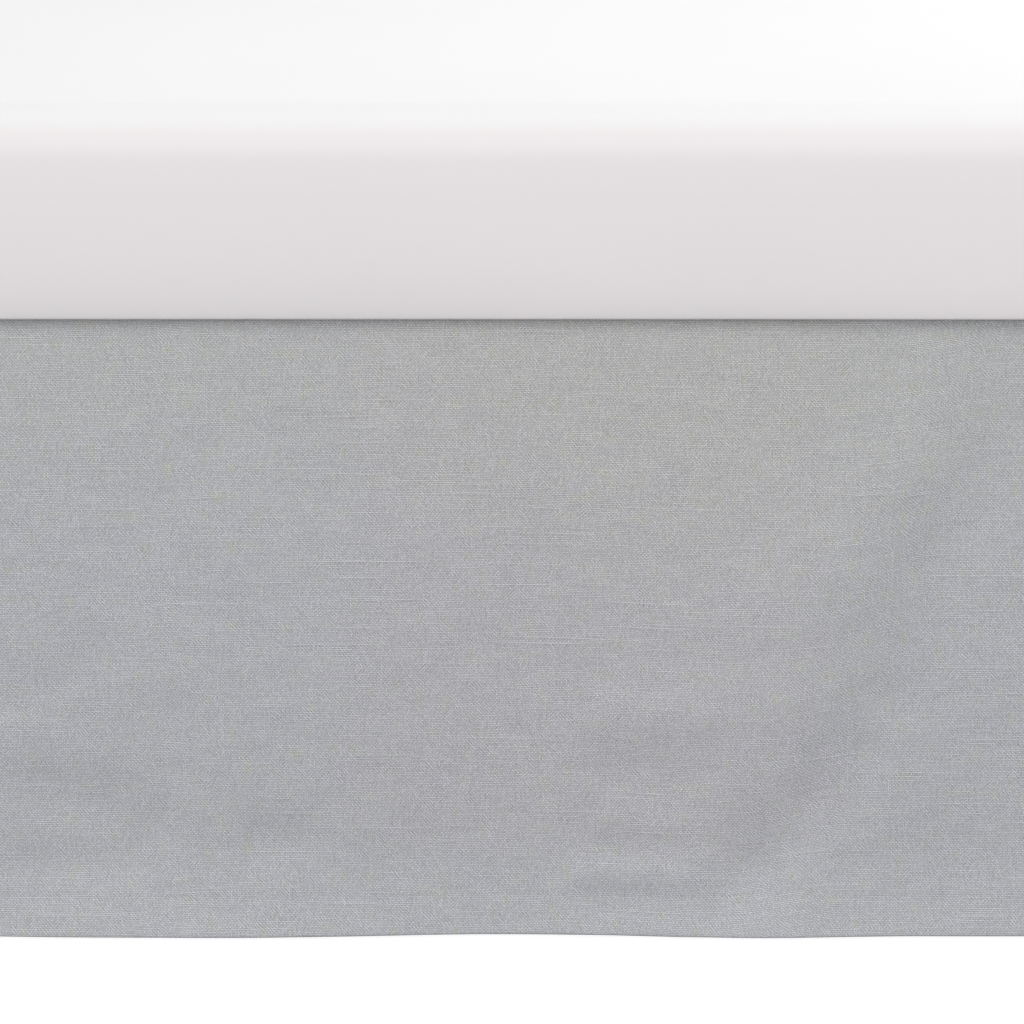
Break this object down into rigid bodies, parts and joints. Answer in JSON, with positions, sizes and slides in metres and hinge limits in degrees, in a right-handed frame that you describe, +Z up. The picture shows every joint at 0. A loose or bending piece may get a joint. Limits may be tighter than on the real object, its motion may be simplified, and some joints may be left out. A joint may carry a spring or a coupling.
{
  "type": "bed skirt with cot mattress and slatted bed base",
  "caption": "Tailored bed skirt: plain hemmed drop panels with split corners hang from a flat platform panel under a cot mattress and fall over the edges of a slatted wooden base.",
  "frame": {"origin": "centre of the bed's footprint, on the floor", "axes": "+X along the bed's length, -Y out of the front drop panel, +Z up"},
  "size_m": [1.3326, 0.7226, 0.5503],
  "materials": {
    "skirt_cloth": "plain-woven linen look, soft grey, matt",
    "platform_cloth": "plain white cotton, matt",
    "mattress_cover": "smooth white cotton cover, matt",
    "base_wood": "clear-finished pine, satin"
  },
  "bodies": {
    "root": {"drop_front": "skirt_cloth", "drop_right": "skirt_cloth", "drop_back": "skirt_cloth", "drop_left": "skirt_cloth", "platform": "platform_cloth", "mattress": "mattress_cover", "rail_front": "base_wood", "rail_back": "base_wood", "rail_left": "base_wood", "rail_right": "base_wood", "leg_front_left": "base_wood", "leg_front_right": "base_wood", "leg_back_left": "base_wood", "leg_back_right": "base_wood", "ledger_front": "base_wood", "ledger_back": "base_wood", "slat_1": "base_wood", "slat_2": "base_wood", "slat_3": "base_wood", "slat_4": "base_wood", "slat_5": "base_wood", "slat_6": "base_wood", "slat_7": "base_wood", "slat_8": "base_wood", "slat_9": "base_wood"}
  },
  "joints": []
}
